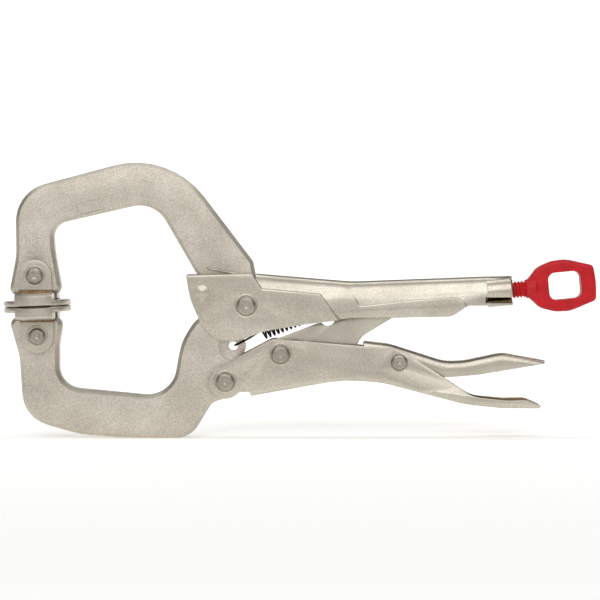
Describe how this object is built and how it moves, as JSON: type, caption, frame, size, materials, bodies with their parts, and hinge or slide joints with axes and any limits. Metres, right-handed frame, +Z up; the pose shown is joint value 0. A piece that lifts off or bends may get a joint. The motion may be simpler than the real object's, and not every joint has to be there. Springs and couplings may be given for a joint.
{
  "type": "locking c clamp",
  "caption": "Locking C clamp with swivel pads, over-centre toggle handles, release lever and adjusting screw.",
  "frame": {"origin": "centre of the fixed pad's clamping face, jaws shut", "axes": "+X from the pads along the handles to the thumb knob, +Z up through the fixed jaw, +Y through the thickness of the tool"},
  "size_m": [0.2798, 0.0348, 0.1298],
  "materials": {
    "sheet_steel": "satin nickel plated pressed sheet",
    "forged_steel": "nickel plated shot-blasted forging",
    "pad_steel": "nickel plated turned steel",
    "rivet_steel": "plated rivet, peened",
    "screw_steel": "bright plated rolled thread",
    "red_coating": "smooth red dipped coating",
    "black_spring": "black oxide spring wire"
  },
  "bodies": {
    "upper_handle": {"upper_handle": "sheet_steel", "fixed_jaw": "forged_steel", "fixed_jaw_pin": "rivet_steel", "main_rivet": "rivet_steel", "fixed_pad_pin": "rivet_steel"},
    "movable_jaw": {"movable_jaw": "forged_steel", "jaw_lever_rivet": "rivet_steel", "moving_pad_pin": "rivet_steel", "tension_spring": "black_spring"},
    "lower_handle": {"lower_handle": "sheet_steel", "link_rivet": "rivet_steel", "release_lever_rivet": "rivet_steel"},
    "toggle_link": {"toggle_link": "sheet_steel"},
    "release_lever": {"release_lever": "sheet_steel"},
    "screw_tip": {"screw_tip": "screw_steel"},
    "adjusting_screw": {"adjusting_screw": "screw_steel", "thumb_knob": "red_coating"},
    "fixed_pad": {"fixed_pad_disc": "pad_steel", "fixed_pad_clevis": "pad_steel"},
    "moving_pad": {"moving_pad_disc": "pad_steel", "moving_pad_clevis": "pad_steel"}
  },
  "joints": [
    {"name": "jaw_pivot", "type": "hinge", "parent": "upper_handle", "child": "movable_jaw", "pos_m": [0.0988, 0, 0], "axis": [0, -1, 0], "range_deg": [0, 28], "deforming": ["tension_spring"]},
    {"name": "lever_pivot", "type": "hinge", "parent": "movable_jaw", "child": "lower_handle", "pos_m": [0.0889, 0, -0.0357], "axis": [0, -1, 0], "range_deg": [-71.5, 0]},
    {"name": "link_pivot", "type": "hinge", "parent": "lower_handle", "child": "toggle_link", "pos_m": [0.1149, 0, -0.0228], "axis": [0, -1, 0], "range_deg": [0, 74.8]},
    {"name": "release_pivot", "type": "hinge", "parent": "lower_handle", "child": "release_lever", "pos_m": [0.1708, 0, -0.0265], "axis": [0, -1, 0], "range_deg": [-8, 0]},
    {"name": "screw_travel", "type": "slide", "parent": "upper_handle", "child": "screw_tip", "axis": [0.9956, 0, 0.0941], "range_m": [0, 0.0205]},
    {"name": "knob_turn", "type": "hinge", "parent": "screw_tip", "child": "adjusting_screw", "pos_m": [0.1635, 0, 0.0015], "axis": [0.9956, 0, 0.0941], "range_deg": [0, 4500]},
    {"name": "fixed_pad_tilt", "type": "hinge", "parent": "upper_handle", "child": "fixed_pad", "pos_m": [-0.0005, 0, 0.01399], "axis": [0, -1, 0], "range_deg": [0, 15]},
    {"name": "moving_pad_tilt", "type": "hinge", "parent": "movable_jaw", "child": "moving_pad", "pos_m": [0.00051, 0, -0.01429], "axis": [0, -1, 0], "range_deg": [-15, 0]}
  ],
  "couplings": [
    {"joint": "lever_pivot", "follows": "jaw_pivot", "ratio": -2.5399},
    {"joint": "link_pivot", "follows": "jaw_pivot", "ratio": 2.6585},
    {"joint": "fixed_pad_tilt", "follows": "jaw_pivot", "ratio": 0.5},
    {"joint": "moving_pad_tilt", "follows": "jaw_pivot", "ratio": -0.5},
    {"joint": "screw_travel", "follows": "knob_turn", "m_per_rad": 0.00025465}
  ]
}
